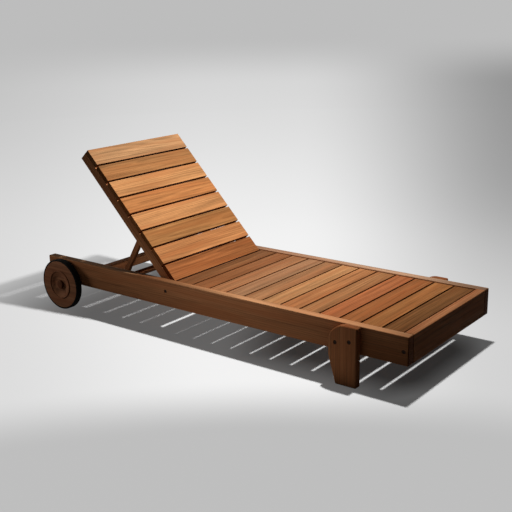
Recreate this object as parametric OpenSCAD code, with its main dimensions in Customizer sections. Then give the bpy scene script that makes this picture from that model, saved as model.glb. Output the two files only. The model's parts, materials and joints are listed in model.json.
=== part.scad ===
// Wooden sun lounger: a slatted bed on two side rails, with a back that tilts
// on two hinge bolts, a folding prop behind the back, two legs and two wheels.
// X runs from the head end to the foot end, Y from right to left, Z up from
// the ground, and the origin is on the ground under the middle of the lounger.

/* [Frame] */
// Thickness of a side rail
rail_t = 40; // [34:1:46]
// Rise of the rails' undersides above the wheels' axis
rail_rise = 7; // [4:1:12]
// Depth of the rails below the folded back and its bar
rack_room = 31; // [22:1:34]
// Length of the rails beyond the head end of the back as it lies flat
head_room = 10.5; // [10:0.5:60]
// Width over the two side rails
frame_w = 722; // [640:2:800]
// Rounding along the edges of the rails and the foot board
rail_round = 4; // [2:0.5:8]
// Thickness of the foot board
foot_board_t = 39; // [32:1:46]
// Height of the axle beam
axle_beam_h = 44; // [38:1:50]
// Width of the axle beam
axle_beam_w = 42; // [38:1:50]

/* [Seat] */
// Number of slats in the seat
seat_slats = 12; // [10:1:12]
// Width of every slat
slat_w = 87; // [76:0.5:90]
// Thickness of every slat
slat_t = 22; // [18:1:24]
// Gap between two slats of the seat
seat_gap = 8.5; // [5:0.5:9.5]
// Drop from the tops of the rails to the slats
slat_drop = 4; // [2:0.5:8]
// Gap between the end of a slat and a rail
slat_end_gap = 7; // [5:0.5:9]
// Rounding along the edges of a slat
slat_round = 3; // [1:0.5:5]
// Height of a ledger under the seat
ledger_h = 32; // [28:1:38]
// Width of a ledger
ledger_w = 25; // [22:1:28]

/* [Backrest] */
// Number of slats in the back
back_slats = 8; // [6:1:8]
// Gap between two slats of the back
back_gap = 8.5; // [5:0.5:9.5]
// Hinge axis to the head edge of the seat
hinge_setback = 33; // [31:1:45]
// Hinge axis to the lower edge of the first slat of the back
back_start = 16; // [14:1:24]
// Depth of a stile, behind the slats
stile_d = 40; // [36:1:44]
// Width of a stile, across the lounger
stile_w = 40; // [34:1:44]
// Tilt of the back as it stands, from lying flat
rest_tilt = 46.4; // [42:0.1:50]
// Steepest tilt of the back
max_tilt = 56; // [52:0.5:58]

/* [Prop] */
// Prop's pivot to the middle of its bar
prop_l = 288; // [270:1:300]
// Lean of the prop as it stands, from lying flat
prop_lean = 59.2; // [56:0.1:62]
// Width of an arm
arm_w = 24; // [22:1:26]
// Thickness of an arm
arm_t = 20; // [17:1:23]
// Gap between an arm and a stile
arm_gap = 0.9; // [0.5:0.1:1.5]
// Side of the bar between the arms
bar_side = 22; // [20:1:24]
// Radius of the bar's round ends
bar_end_r = 9; // [8:0.5:10]
// Rise of the bar from lying flat to standing in its notch
bar_rise = 6; // [3:0.5:8]
// Gap between the bar's round ends and the stiles when the back lies flat
flat_gap = 2; // [1:0.5:4]

/* [Racks] */
// Thickness of a rack
rack_t = 25; // [22:1:28]
// Length of a rack beyond the bar's path
rack_overhang = 26; // [20:1:34]
// Number of notches to the head side of the rest notch
lower_notches = 2; // [0:1:2]
// Number of notches to the foot side of the rest notch
upper_notches = 1; // [0:1:1]
// Distance between two notches
notch_pitch = 86; // [70:1:88]
// Width of a notch
notch_w = 14; // [12:0.5:15]
// Depth of a notch
notch_depth = 8; // [7:0.5:10]
// Gap between the bar's path and the rack
rack_gap = 0.5; // [0.3:0.1:1]

/* [Legs] */
// Thickness of a leg
leg_t = 33; // [28:1:40]
// Width of a leg beside the rail
leg_w = 129; // [112:1:140]
// Width of a leg at the ground
leg_foot_w = 95; // [80:1:104]
// Radius of the rounded top corner of a leg
leg_corner_r = 76; // [50:1:84]
// Rise of a leg above its rail
leg_rise = 0; // [0:0.5:10]
// Underside of a rail down to where a leg starts to taper
leg_taper_drop = 13; // [0:1:40]
// Foot end of the rails to a leg
leg_inset = 204; // [160:1:260]
// Side edge of a leg to its nearest bolt
leg_bolt_inset = 33; // [26:1:38]
// Underside of a rail to the middle of the leg bolts
leg_bolt_rise = 49; // [38:1:54]
// Height difference between the two bolts of a leg
leg_bolt_stagger = 13; // [0:1:20]

/* [Wheels] */
// Radius over the tyre
wheel_r = 124; // [118:1:128]
// Width of a wheel's rim and tyre
rim_w = 31; // [28:1:36]
// Thickness of a tyre
tyre_t = 7; // [5:0.5:12]
// Rounding of a tyre's shoulders
tyre_round = 3.5; // [2:0.5:5]
// Head end of the rails to the axle
axle_inset = 113; // [106:1:122]
// Gap between a wheel and its rail
wheel_gap = 8; // [5:0.5:12]
// Radius of the dish in a wheel
dish_r = 64; // [54:1:72]
// Depth of the dish
dish_depth = 10; // [10:0.5:13]
// Width of the dish's sloping wall
dish_slope = 16; // [8:1:20]
// Width of the raised bead around the dish
bead_w = 6; // [4:0.5:9]
// Rise of the bead above the rim
bead_h = 3; // [2:0.5:5]
// Chamfer around the rim of a wheel
wheel_chamfer = 3; // [2:0.5:5]
// Radius of an axle bolt
axle_r = 7; // [6:0.5:8]
// Wall of a hub bush
bush_wall = 3; // [2:0.5:4]
// Gap round the axle bolt's flange in a hub cap
cap_gap = 4.8; // [2:0.2:8]
// Wall of a hub cap
cap_wall = 2.2; // [1.5:0.1:2.4]

/* [Fasteners] */
// Radius of the hinge bolts and the prop bolts
pivot_bolt_r = 5; // [4:0.5:6]
// Radius of the leg bolts and the foot board bolts
frame_bolt_r = 4; // [3:0.5:5]
// Radius of a bolt head
bolt_head_r = 8; // [7:0.5:9]
// Height of a bolt head
bolt_head_h = 6; // [5:0.5:7]
// Depth at which a bolt head lies below the wood
bolt_sink = 2; // [1:0.5:3]
// Radius of the key socket in a bolt head
socket_r = 3; // [2:0.5:3.5]
// Depth of a key socket
socket_depth = 3; // [2:0.5:4]
// Radius of a wood screw
screw_r = 2.25; // [1.5:0.25:2.75]
// Radius of a screw head
screw_head_r = 4.5; // [4:0.25:5]
// Wood left above the tip of a slat screw
screw_cover = 7; // [5:0.5:9]
// Middle of a slat to its screws
slat_screw_offset = 23; // [16:1:28]

/* [Fits] */
// Radial clearance of a turning fit
run_fit = 0.05; // [0.02:0.01:0.09]
// Side clearance beside a turning piece
side_gap = 0.3; // [0.2:0.1:0.6]
// Radial clearance of a bolt or screw in wood
wood_fit = 0.1; // [0.05:0.05:0.3]

/* [Hidden] */
$fn = 64;
// Overrun of every cut past the face that it opens
over = 1;
// Washer and nut sizes of the two hinges
hinge_nut_r = 9;
hinge_nut_t = 8;
spacer_wall = 5;
// Length of the prop bolts and the axle bolts in the wood that holds them
prop_bolt_grip = 24;
axle_bolt_grip = 60;
// Flange, head and their heights on an axle bolt
axle_flange_lip = 4;
axle_flange_t = 2;
axle_spacer_wall = 11;
// Foot board bolts, their cross nuts and dowels
board_bolt_grip = 80;
board_bolt_rise = 55;
cross_nut_r = 6;
cross_nut_l = 26;
dowel_r = 5;
dowel_l = 60;
dowel_rise = 32;
dowel_cover = 22;
// Threaded inserts of the leg bolts
insert_r = 6;
insert_l = 18;
// Screws of the ledgers and racks into the rails, and of the axle beam up into the rails
rail_screw_cover = 13;
rack_screw_rise = 10;
rack_screw_share = 0.3;
beam_screw_l = 92;
beam_screw_edge = 7;
// Screws up through the prop's bar into its arms
prop_screw_l = 62;
// Steps of the bar's path along a rack, and seat gaps between the ledger screws
path_steps = 28;
ledger_screw_every = 2;

rail_h = slat_drop + slat_t + stile_d + flat_gap + 2 * bar_end_r + rack_room;
rail_bottom = wheel_r + rail_rise;
rail_top = rail_bottom + rail_h;
rail_out = frame_w / 2;
rail_in = rail_out - rail_t;
slat_top = rail_top - slat_drop;
slat_bottom = slat_top - slat_t;
slat_l = 2 * (rail_in - slat_end_gap);
seat_pitch = slat_w + seat_gap;
back_pitch = slat_w + back_gap;
back_end = back_start + back_slats * back_pitch - back_gap;
hinge_x = head_room + back_end;
seat_head_x = hinge_x + hinge_setback;
seat_foot_x = seat_head_x + seat_slats * seat_pitch;
rail_l = seat_foot_x + foot_board_t;
hinge_z = slat_bottom - stile_d / 2;
stile_y = slat_l / 2 - stile_w / 2;
arm_y = slat_l / 2 - stile_w - arm_gap - arm_t / 2;
ledger_y = rail_in - ledger_w / 2;
slat_screw_y = (rail_in - ledger_w + slat_l / 2) / 2;
slat_screw_l = ledger_h + slat_t - screw_cover;
back_screw_l = stile_d + slat_t - screw_cover;
rail_screw_l = ledger_w + rail_t - rail_screw_cover;
rack_screw_l = rack_t + rail_t - rail_screw_cover;
leg_h = rail_top + leg_rise;
leg_taper_z = rail_bottom - leg_taper_drop;
leg_x = rail_l - leg_inset - leg_w;
leg_bolt_z = rail_bottom + leg_bolt_rise;
board_x = rail_l - foot_board_t / 2;
board_bolt_z = rail_bottom + board_bolt_rise;
middle_x = (rail_l - max(0, wheel_r - axle_inset)) / 2;
beam_top = wheel_r + axle_beam_h / 2;
beam_screw_offset = axle_beam_w / 2 - beam_screw_edge;
hub_r = axle_r + bush_wall;
wood_r = wheel_r - tyre_t;
rim_z = wheel_gap + rim_w;
shoulder_r = min(tyre_round, tyre_t / 2);
bead_z = rim_z + bead_h;
dish_z = bead_z - dish_depth;
axle_flange_r = hub_r + axle_flange_lip;
axle_head_t = dish_depth - cap_wall - axle_flange_t - 2 * side_gap;
cap_in_r = axle_flange_r + cap_gap;
cap_r = cap_in_r + cap_wall;

// The bar's height when the back lies flat and as it stands, and the lean of
// the prop at both, from which every pose between them follows in proportion.
flat_bar_z = hinge_z - stile_d / 2 - flat_gap - bar_end_r;
rest_bar_z = flat_bar_z + bar_rise;
flat_lean = asin((hinge_z - flat_bar_z) / prop_l);
prop_up = (prop_l * sin(prop_lean) + rest_bar_z - hinge_z) / sin(rest_tilt);
function lean_at(tilt) = flat_lean + (prop_lean - flat_lean) * tilt / rest_tilt;
function prop_x(tilt) = hinge_x - prop_up * cos(tilt);
function prop_z(tilt) = hinge_z + prop_up * sin(tilt);
function bar_x(tilt) = prop_x(tilt) - prop_l * cos(lean_at(tilt));
function bar_z(tilt) = prop_z(tilt) - prop_l * sin(lean_at(tilt));

// The top of a rack follows the bar's path, a small gap below it.
rack_drop = bar_end_r + rack_gap;
rack_path = [for (i = [0:path_steps]) let (t = max_tilt * i / path_steps)
    [bar_x(t), bar_z(t) - rack_drop]];
rack_head_x = bar_x(0) - rack_overhang;
rack_foot_x = bar_x(max_tilt) + rack_overhang;
rack_foot_z = rack_path[path_steps][1];
notch_places = [for (i = [-lower_notches:upper_notches]) bar_x(rest_tilt) + i * notch_pitch];

// Places: the frame, the tilted back and the leaning prop.
module in_frame() translate([-middle_x, 0, 0]) children();

module on_back() in_frame() translate([hinge_x, 0, hinge_z]) rotate([0, rest_tilt, 0]) children();

module on_prop() in_frame()
    translate([prop_x(rest_tilt), 0, prop_z(rest_tilt)]) rotate([0, -prop_lean, 0]) children();

module both_sides() {
    children();
    mirror([0, 1, 0]) children();
}

// Turned to point out of the right side, with its base on the rail's outer face.
module outward(x, z) translate([x, -rail_out, z]) rotate([90, 0, 0]) children();

module rounded_rect(w, h, r) {
    translate([r, 0]) square([w - 2 * r, h]);
    translate([0, r]) square([w, h - 2 * r]);
    for (x = [r, w - r], y = [r, h - r]) translate([x, y]) circle(r);
}

// A board along Y, with its lowest corner at x, z and rounded long edges.
module cross_board(x, z, w, h, l, r)
    translate([x, l / 2, z]) rotate([90, 0, 0]) linear_extrude(l) rounded_rect(w, h, r);

// A wood screw along +Z with its head at zero, and the hole that it needs.
module screw(l, fit = 0) {
    cylinder(h = screw_head_r - screw_r, r1 = screw_head_r + fit, r2 = screw_r + fit);
    cylinder(h = l + fit, r = screw_r + fit);
}

module screw_hole(l) {
    screw(l, wood_fit);
    translate([0, 0, -over]) cylinder(h = over + wood_fit, r = screw_head_r + wood_fit);
}

// A cap screw along -Z with the top of its head at zero.
module cap_screw(l, r) difference() {
    union() {
        translate([0, 0, -bolt_head_h]) cylinder(h = bolt_head_h, r = bolt_head_r);
        translate([0, 0, -l]) cylinder(h = l, r = r);
    }
    translate([0, 0, -socket_depth]) cylinder(h = socket_depth + over, r = socket_r, $fn = 6);
}

module cap_screw_hole(l, r) {
    translate([0, 0, -bolt_head_h]) cylinder(h = bolt_head_h + bolt_sink + over, r = bolt_head_r + wood_fit);
    translate([0, 0, -l]) cylinder(h = l, r = r + wood_fit);
}

// Places of the fasteners, each list shared by the screws and their holes.
leg_bolt_places = [[leg_x + leg_bolt_inset, leg_bolt_z - leg_bolt_stagger / 2],
    [leg_x + leg_w - leg_bolt_inset, leg_bolt_z + leg_bolt_stagger / 2]];
leg_bolt_l = leg_t - bolt_sink + rail_t;
ledger_screw_places = [for (i = [1:ledger_screw_every:seat_slats - 1])
    [seat_foot_x - i * seat_pitch - seat_gap / 2, slat_bottom - ledger_h / 2]];
rack_screw_places = [for (x = notch_places) [x - rack_screw_share * notch_pitch, rail_bottom + rack_screw_rise]];
beam_screw_places = [for (x = [-beam_screw_offset, beam_screw_offset]) axle_inset + x];

module leg_bolt_holes() for (p = leg_bolt_places)
    outward(p[0], p[1]) translate([0, 0, leg_t - bolt_sink]) cap_screw_hole(leg_bolt_l, frame_bolt_r);

module beam_screw_holes() for (x = beam_screw_places)
    translate([x, -rail_out + rail_t / 2, wheel_r - axle_beam_h / 2]) screw_hole(beam_screw_l);

module rail_screw_holes(places, t, l) for (p = places)
    translate([p[0], -rail_in + t, p[1]]) rotate([90, 0, 0]) screw_hole(l);

module board_bolt_hole() outward(board_x, board_bolt_z)
    translate([0, 0, -bolt_sink]) cap_screw_hole(board_bolt_grip, frame_bolt_r);

module dowel_places() for (z = [-dowel_rise, dowel_rise])
    outward(board_x, rail_bottom + rail_h / 2 + z) translate([0, 0, -dowel_l - dowel_cover]) children();

// The cut over the axle beam, as deep as the rail or the rack that it is made in.
module beam_housing(depth, gap = 0) translate([axle_inset - axle_beam_w / 2 - gap, -rail_out - over, 0])
    cube([axle_beam_w + 2 * gap, depth + 2 * over, beam_top + gap]);

module side_rail() difference() {
    translate([0, -rail_out, rail_bottom]) rotate([90, 0, 90])
        linear_extrude(rail_l) rounded_rect(rail_t, rail_h, rail_round);
    beam_housing(rail_t);
    outward(hinge_x, hinge_z) {
        translate([0, 0, -bolt_sink]) cap_screw_hole(bolt_sink + bolt_head_h + over, pivot_bolt_r);
        translate([0, 0, -rail_t - over]) cylinder(h = rail_t, r = pivot_bolt_r + wood_fit);
    }
    for (p = leg_bolt_places) outward(p[0], p[1]) {
        translate([0, 0, -rail_t - over]) cylinder(h = rail_t + 2 * over, r = frame_bolt_r + wood_fit);
        translate([0, 0, -rail_t - over]) cylinder(h = insert_l + over, r = insert_r + wood_fit);
    }
    board_bolt_hole();
    dowel_places() cylinder(h = dowel_l, r = dowel_r + wood_fit);
    beam_screw_holes();
    rail_screw_holes(ledger_screw_places, ledger_w, rail_screw_l);
    rail_screw_holes(rack_screw_places, rack_t, rack_screw_l);
}

module foot_board() color("saddlebrown") in_frame() difference() {
    cross_board(seat_foot_x, rail_bottom, foot_board_t, rail_h, 2 * rail_in, rail_round);
    both_sides() {
        board_bolt_hole();
        dowel_places() cylinder(h = dowel_l, r = dowel_r + wood_fit);
        cross_nut_place() translate([0, 0, -over]) cylinder(h = cross_nut_l + over, r = cross_nut_r + wood_fit);
    }
}

// The cross nut lies along X, let into the inner face of the foot board.
module cross_nut_place()
    translate([seat_foot_x, -rail_out + board_bolt_grip - cross_nut_r, board_bolt_z])
        rotate([0, 90, 0]) children();

module foot_board_bolts() color("dimgray") in_frame() both_sides() outward(board_x, board_bolt_z)
    translate([0, 0, -bolt_sink]) cap_screw(board_bolt_grip - bolt_sink, frame_bolt_r);

module foot_board_cross_nuts() color("dimgray") in_frame() both_sides() difference() {
    cross_nut_place() cylinder(h = cross_nut_l, r = cross_nut_r);
    board_bolt_hole();
}

module foot_board_dowels() color("burlywood") in_frame() both_sides() dowel_places()
    cylinder(h = dowel_l - wood_fit, r = dowel_r);

module axle_beam() color("sienna") in_frame() difference() {
    cross_board(axle_inset - axle_beam_w / 2, beam_top - axle_beam_h,
        axle_beam_w, axle_beam_h, frame_w, slat_round);
    both_sides() {
        beam_screw_holes();
        outward(axle_inset, wheel_r) translate([0, 0, -axle_bolt_grip])
            cylinder(h = axle_bolt_grip + over, r = axle_r + wood_fit);
    }
}

module axle_beam_screws() color("silver") in_frame() both_sides() for (x = beam_screw_places)
    translate([x, -rail_out + rail_t / 2, wheel_r - axle_beam_h / 2]) screw(beam_screw_l);

module seat_ledger() difference() {
    translate([seat_head_x, -rail_in, slat_bottom - ledger_h])
        cube([seat_foot_x - seat_head_x, ledger_w, ledger_h]);
    rail_screw_holes(ledger_screw_places, ledger_w, rail_screw_l);
    for (i = [0:seat_slats - 1]) seat_screw_places(i) screw_hole(slat_screw_l);
}

module seat_screw_places(i) for (x = [-slat_screw_offset, slat_screw_offset])
    translate([seat_foot_x - i * seat_pitch - seat_pitch + slat_w / 2 + x,
        -slat_screw_y, slat_bottom - ledger_h]) children();

module seat_slat(i) color(i % 2 == 0 ? "peru" : "chocolate") in_frame() difference() {
    cross_board(seat_foot_x - (i + 1) * seat_pitch, slat_bottom, slat_w, slat_t, slat_l, slat_round);
    both_sides() seat_screw_places(i) screw_hole(slat_screw_l);
}

module seat_slat_screws() color("silver") in_frame() both_sides()
    for (i = [0:seat_slats - 1]) seat_screw_places(i) screw(slat_screw_l);

module rail_screws() color("silver") in_frame() both_sides() {
    for (p = ledger_screw_places)
        translate([p[0], -rail_in + ledger_w, p[1]]) rotate([90, 0, 0]) screw(rail_screw_l);
    for (p = rack_screw_places)
        translate([p[0], -rail_in + rack_t, p[1]]) rotate([90, 0, 0]) screw(rack_screw_l);
}

// A rack's dished top has notches with round bottoms for the ends of the bar.
module rack() difference() {
    translate([0, -rail_in + rack_t, 0]) rotate([90, 0, 0]) linear_extrude(rack_t) difference() {
        polygon(concat([[rack_foot_x, rail_bottom], [rack_head_x, rail_bottom],
            [rack_head_x, rack_path[0][1]]], rack_path, [[rack_foot_x, rack_foot_z]]));
        for (x = notch_places) translate([x, lookup(x, rack_path) - notch_depth + notch_w / 2]) {
            circle(notch_w / 2);
            translate([-notch_w / 2, 0]) square([notch_w, notch_depth + notch_w]);
        }
    }
    rail_screw_holes(rack_screw_places, rack_t, rack_screw_l);
    beam_housing(rail_t + rack_t, wood_fit);
}

// A leg's outline, with x from its head side and y up from the ground.
module leg_outline() {
    polygon([[leg_w - leg_foot_w, 0], [leg_w, 0], [leg_w, leg_h], [leg_corner_r, leg_h],
        [0, leg_h - leg_corner_r], [0, leg_taper_z]]);
    intersection() {
        translate([leg_corner_r, leg_h - leg_corner_r]) circle(leg_corner_r, $fn = 128);
        translate([0, leg_h - leg_corner_r]) square(leg_corner_r);
    }
}

module leg() difference() {
    outward(leg_x, 0) linear_extrude(leg_t) leg_outline();
    leg_bolt_holes();
}

module leg_bolts() color("dimgray") in_frame() both_sides() for (p = leg_bolt_places)
    outward(p[0], p[1]) translate([0, 0, leg_t - bolt_sink]) cap_screw(leg_bolt_l, frame_bolt_r);

module leg_inserts() color("goldenrod") in_frame() both_sides() for (p = leg_bolt_places)
    outward(p[0], p[1]) translate([0, 0, -rail_t]) difference() {
        cylinder(h = insert_l, r = insert_r);
        translate([0, 0, -over]) cylinder(h = insert_l + 2 * over, r = frame_bolt_r + wood_fit);
    }

module hinge_bolts() color("dimgray") in_frame() both_sides() outward(hinge_x, hinge_z)
    translate([0, 0, -bolt_sink])
        cap_screw(rail_t + slat_end_gap + stile_w + side_gap + hinge_nut_t - bolt_sink, pivot_bolt_r);

module hinge_spacers() color("ivory") in_frame() both_sides() outward(hinge_x, hinge_z)
    translate([0, 0, -rail_t - slat_end_gap + side_gap]) difference() {
        cylinder(h = slat_end_gap - side_gap, r = pivot_bolt_r + spacer_wall);
        translate([0, 0, -over]) cylinder(h = slat_end_gap + 2 * over, r = pivot_bolt_r + wood_fit);
    }

module hinge_nuts() color("silver") in_frame() both_sides() outward(hinge_x, hinge_z)
    translate([0, 0, -rail_t - slat_end_gap - stile_w - side_gap - hinge_nut_t]) difference() {
        cylinder(h = hinge_nut_t, r = hinge_nut_r, $fn = 6);
        translate([0, 0, -over]) cylinder(h = hinge_nut_t + 2 * over, r = pivot_bolt_r + run_fit);
    }

module back_stile() difference() {
    union() {
        translate([-back_end, -stile_y - stile_w / 2, -stile_d / 2]) cube([back_end, stile_w, stile_d]);
        translate([0, -stile_y + stile_w / 2, 0]) rotate([90, 0, 0]) cylinder(h = stile_w, r = stile_d / 2);
    }
    translate([0, -stile_y + stile_w / 2 + over, 0]) rotate([90, 0, 0])
        cylinder(h = stile_w + 2 * over, r = pivot_bolt_r + run_fit);
    translate([-prop_up, -stile_y + stile_w / 2 + over, 0]) rotate([90, 0, 0])
        cylinder(h = prop_bolt_grip + over, r = pivot_bolt_r + wood_fit);
    for (i = [0:back_slats - 1]) back_screw_places(i) screw_hole(back_screw_l);
}

module back_screw_places(i) for (x = [-slat_screw_offset, slat_screw_offset])
    translate([-back_start - i * back_pitch - slat_w / 2 + x, -stile_y, -stile_d / 2]) children();

module back_slat(i) color(i % 2 == 0 ? "sandybrown" : "peru") on_back() difference() {
    cross_board(-back_start - i * back_pitch - slat_w, stile_d / 2, slat_w, slat_t, slat_l, slat_round);
    both_sides() back_screw_places(i) screw_hole(back_screw_l);
}

module back_slat_screws() color("silver") on_back() both_sides()
    for (i = [0:back_slats - 1]) back_screw_places(i) screw(back_screw_l);

module prop_bolts() color("dimgray") on_back() both_sides()
    translate([-prop_up, -arm_y + arm_t / 2 + side_gap + bolt_head_h, 0]) rotate([-90, 0, 0])
        cap_screw(bolt_head_h + side_gap + arm_t + arm_gap + prop_bolt_grip, pivot_bolt_r);

module prop_arm() difference() {
    union() {
        translate([-prop_l + bar_side / 2, -arm_y - arm_t / 2, -arm_w / 2])
            cube([prop_l - bar_side / 2, arm_t, arm_w]);
        translate([0, -arm_y + arm_t / 2, 0]) rotate([90, 0, 0]) cylinder(h = arm_t, r = arm_w / 2);
    }
    translate([0, -arm_y + arm_t / 2 + over, 0]) rotate([90, 0, 0])
        cylinder(h = arm_t + 2 * over, r = pivot_bolt_r + run_fit);
    prop_screw_place() screw_hole(prop_screw_l);
}

module prop_screw_place() translate([-prop_l - bar_side / 2, -arm_y, 0]) rotate([0, 90, 0]) children();

module prop_bar() color("sienna") on_prop() difference() {
    translate([-prop_l, 0, 0]) union() {
        translate([-bar_side / 2, -arm_y - arm_t / 2, -bar_side / 2])
            cube([bar_side, 2 * arm_y + arm_t, bar_side]);
        translate([0, slat_l / 2, 0]) rotate([90, 0, 0]) cylinder(h = slat_l, r = bar_end_r);
    }
    both_sides() prop_screw_place() screw_hole(prop_screw_l);
}

module prop_screws() color("silver") on_prop() both_sides() prop_screw_place() screw(prop_screw_l);

// The wheels turn about the axle bolts, drawn here along Z from the rail outward.
module on_axle() in_frame() outward(axle_inset, wheel_r) children();

module wheel() rotate_extrude($fn = 128) polygon([
    [hub_r, wheel_gap], [wood_r - wheel_chamfer, wheel_gap], [wood_r, wheel_gap + wheel_chamfer],
    [wood_r, rim_z - wheel_chamfer], [wood_r - wheel_chamfer, rim_z], [dish_r + bead_w, rim_z],
    [dish_r + bead_w, rim_z + bead_h / 2], [dish_r + bead_w / 2, bead_z], [dish_r, bead_z],
    [dish_r - dish_slope, dish_z], [hub_r, dish_z]]);

module tyre() translate([0, 0, wheel_gap]) rotate_extrude($fn = 128) {
    translate([wood_r, 0]) square([tyre_t - shoulder_r, rim_w]);
    translate([wood_r, shoulder_r]) square([tyre_t, rim_w - 2 * shoulder_r]);
    for (z = [shoulder_r, rim_w - shoulder_r])
        translate([wheel_r - shoulder_r, z]) circle(shoulder_r, $fn = 32);
}

module hub_bush() translate([0, 0, wheel_gap]) difference() {
    cylinder(h = dish_z - wheel_gap, r = hub_r);
    translate([0, 0, -over]) cylinder(h = dish_z, r = axle_r + run_fit);
}

module hub_cap() translate([0, 0, dish_z]) difference() {
    cylinder(h = dish_depth, r = cap_r);
    translate([0, 0, -over]) cylinder(h = dish_depth - cap_wall + over, r = cap_in_r);
}

module axle_bolts() color("silver") both_axles() {
    translate([0, 0, -axle_bolt_grip]) cylinder(h = axle_bolt_grip + dish_z + side_gap, r = axle_r);
    translate([0, 0, dish_z + side_gap]) {
        cylinder(h = axle_flange_t, r = axle_flange_r);
        cylinder(h = axle_flange_t + axle_head_t, r = hub_r, $fn = 6);
    }
}

module both_axles() {
    on_axle() children();
    mirror([0, 1, 0]) on_axle() children();
}

module axle_spacers() color("ivory") both_axles() difference() {
    cylinder(h = wheel_gap - side_gap, r = axle_r + axle_spacer_wall);
    translate([0, 0, -over]) cylinder(h = wheel_gap + 2 * over, r = axle_r + wood_fit);
}

module left() mirror([0, 1, 0]) children();

color("saddlebrown") left() in_frame() side_rail();  // side_rail_left
color("saddlebrown") in_frame() side_rail();  // side_rail_right
foot_board();
axle_beam();
color("sienna") left() in_frame() seat_ledger();  // seat_ledger_left
color("sienna") in_frame() seat_ledger();  // seat_ledger_right
color("sienna") left() in_frame() rack();  // rack_left
color("sienna") in_frame() rack();  // rack_right
color("saddlebrown") left() in_frame() leg();  // leg_left
color("saddlebrown") in_frame() leg();  // leg_right
for (i = [1:seat_slats]) seat_slat(i - 1);
foot_board_bolts();
foot_board_cross_nuts();
foot_board_dowels();
leg_bolts();
leg_inserts();
seat_slat_screws();
rail_screws();
axle_beam_screws();
hinge_bolts();
hinge_spacers();
hinge_nuts();
axle_bolts();
axle_spacers();
color("saddlebrown") left() on_back() back_stile();  // back_stile_left
color("saddlebrown") on_back() back_stile();  // back_stile_right
for (i = [1:back_slats]) back_slat(i - 1);
back_slat_screws();
prop_bolts();
color("sienna") left() on_prop() prop_arm();  // prop_arm_left
color("sienna") on_prop() prop_arm();  // prop_arm_right
prop_bar();
prop_screws();
color("peru") left() on_axle() wheel();  // wheel_left
color("peru") on_axle() wheel();  // wheel_right
color("black") left() on_axle() tyre();  // tyre_left
color("black") on_axle() tyre();  // tyre_right
color("goldenrod") left() on_axle() hub_bush();  // hub_bush_left
color("goldenrod") on_axle() hub_bush();  // hub_bush_right
color("sienna") left() on_axle() hub_cap();  // hub_cap_left
color("sienna") on_axle() hub_cap();  // hub_cap_right
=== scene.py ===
# %% [markdown]
# # A slatted wooden sun lounger
#
# The lounger stands on two legs and two wheels, and its slatted back is propped up.
# Its sizes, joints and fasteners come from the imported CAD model, which is loaded first and never moved.
# This lesson gives the visible boards, wheels and bolts their rounded edges, their grain and their finish.
# Each step says what the piece is on the real lounger, how it could be made, and why one way was chosen.

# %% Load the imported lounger
import math
import bpy
from mathutils import Matrix, Vector
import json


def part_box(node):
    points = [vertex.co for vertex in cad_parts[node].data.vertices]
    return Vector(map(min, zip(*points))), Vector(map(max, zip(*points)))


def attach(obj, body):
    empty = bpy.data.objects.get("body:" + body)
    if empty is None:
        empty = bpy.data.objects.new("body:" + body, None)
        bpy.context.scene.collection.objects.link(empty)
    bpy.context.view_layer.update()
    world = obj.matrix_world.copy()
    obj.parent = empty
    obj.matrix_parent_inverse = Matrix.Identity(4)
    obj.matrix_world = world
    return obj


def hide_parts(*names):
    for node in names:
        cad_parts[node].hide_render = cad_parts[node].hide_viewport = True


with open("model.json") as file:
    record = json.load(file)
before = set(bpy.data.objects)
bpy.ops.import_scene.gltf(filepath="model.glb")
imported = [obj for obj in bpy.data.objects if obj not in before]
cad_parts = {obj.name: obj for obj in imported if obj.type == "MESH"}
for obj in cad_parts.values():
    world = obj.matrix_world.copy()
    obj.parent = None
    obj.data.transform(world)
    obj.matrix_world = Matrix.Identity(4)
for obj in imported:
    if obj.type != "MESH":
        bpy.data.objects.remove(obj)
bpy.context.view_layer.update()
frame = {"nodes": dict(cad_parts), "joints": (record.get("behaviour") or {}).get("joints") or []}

bpy.ops.object.select_all(action="DESELECT")

# %% [markdown]
# ## The camera
#
# The photograph was taken from the foot end's right, a little above the lounger.
# A camera could be dragged until the picture looks right. Here its place, direction, roll and focal length come
# from a least-squares fit of about forty points, so that every edge of the model falls on its edge in the picture.

# %% The camera at the photograph's place
AZIMUTH, ELEVATION, ROLL = (math.radians(v) for v in (37.50, 15.83, -0.961))
CAMERA_PLACE = (2.4559, -3.1663, 1.4511)
# The focal length and the frame's width are in pixels, and the sensor's width is in millimetres.
FOCAL_PIXELS, FRAME_PIXELS, SENSOR = 902.7, 512, 36.0

away = Vector((math.sin(AZIMUTH) * math.cos(ELEVATION), -math.cos(AZIMUTH) * math.cos(ELEVATION),
               math.sin(ELEVATION)))
level = Vector((math.cos(AZIMUTH), math.sin(AZIMUTH), 0))
right = level * math.cos(ROLL) + away.cross(level) * math.sin(ROLL)

bpy.ops.object.camera_add(location=CAMERA_PLACE)
camera = bpy.context.object
camera.name = "photo_camera"
camera.rotation_euler = Matrix((right, away.cross(right), away)).transposed().to_euler()
camera.data.sensor_width = SENSOR
camera.data.lens = FOCAL_PIXELS / FRAME_PIXELS * SENSOR
bpy.context.scene.camera = camera
print("camera with a", round(camera.data.lens, 1), "mm lens")

# %% [markdown]
# ## Measures of the lounger
#
# The hinge and the prop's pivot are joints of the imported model, and every other measure is read from the boxes
# of its nodes. Nothing is measured twice, so the pieces below follow the CAD model if it changes.

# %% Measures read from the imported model
joints = {joint["name"]: joint for joint in frame["joints"]}
HINGE = Vector(joints["backrest_tilt"]["pos_m"])
PIVOT = Vector(joints["prop_swing"]["pos_m"])
TILT = math.radians(-joints["backrest_tilt"]["range_deg"][0])


def middle_and_size(node):
    """The middle of a node's box, and the size of that box."""
    low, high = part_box(node)
    return (low + high) / 2, high - low


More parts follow.
